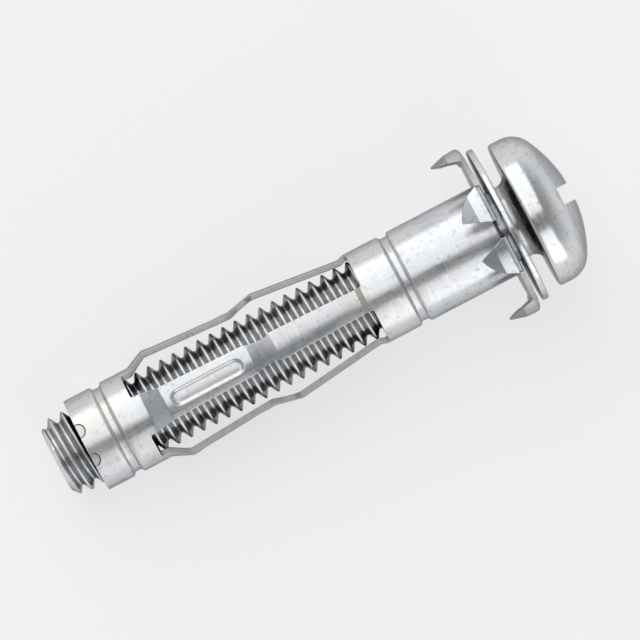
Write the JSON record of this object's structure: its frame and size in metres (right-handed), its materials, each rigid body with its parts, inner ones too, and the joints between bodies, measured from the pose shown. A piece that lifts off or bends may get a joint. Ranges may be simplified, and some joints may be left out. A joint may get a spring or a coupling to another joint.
{
  "type": "hollow wall anchor",
  "caption": "Metal cavity-wall anchor: a slotted sleeve whose bent legs fold out as a pan-head screw draws in the nut held in its far end.",
  "frame": {"origin": "on the anchor's axis, on the face of the flange that bears on the wall", "axes": "+X along the axis towards the screw head, out of the wall; +Z through the middle of one leg and up when the anchor lies on a surface; +Y completes the right-handed set"},
  "size_m": [0.0415, 0.0132, 0.0132],
  "materials": {
    "sleeve_steel": "zinc-plated, satin",
    "nut_steel": "zinc-plated, dull",
    "washer_steel": "zinc-plated, bright",
    "screw_steel": "zinc-plated, bright"
  },
  "bodies": {
    "sleeve_body": {"sleeve": "sleeve_steel", "nut": "nut_steel"},
    "washer_body": {"washer": "washer_steel"},
    "screw_body": {"screw": "screw_steel"}
  },
  "joints": [
    {"name": "screw_turn", "type": "hinge", "parent": "sleeve_body", "child": "washer_body", "pos_m": [0, 0, 0], "axis": [1, 0, 0], "range_deg": [-357, 1585]},
    {"name": "screw_feed", "type": "slide", "parent": "washer_body", "child": "screw_body", "axis": [1, 0, 0], "range_m": [-0.00099, 0.0044]}
  ],
  "couplings": [
    {"joint": "screw_turn", "follows": "screw_feed", "rad_per_m": 6283.2}
  ]
}
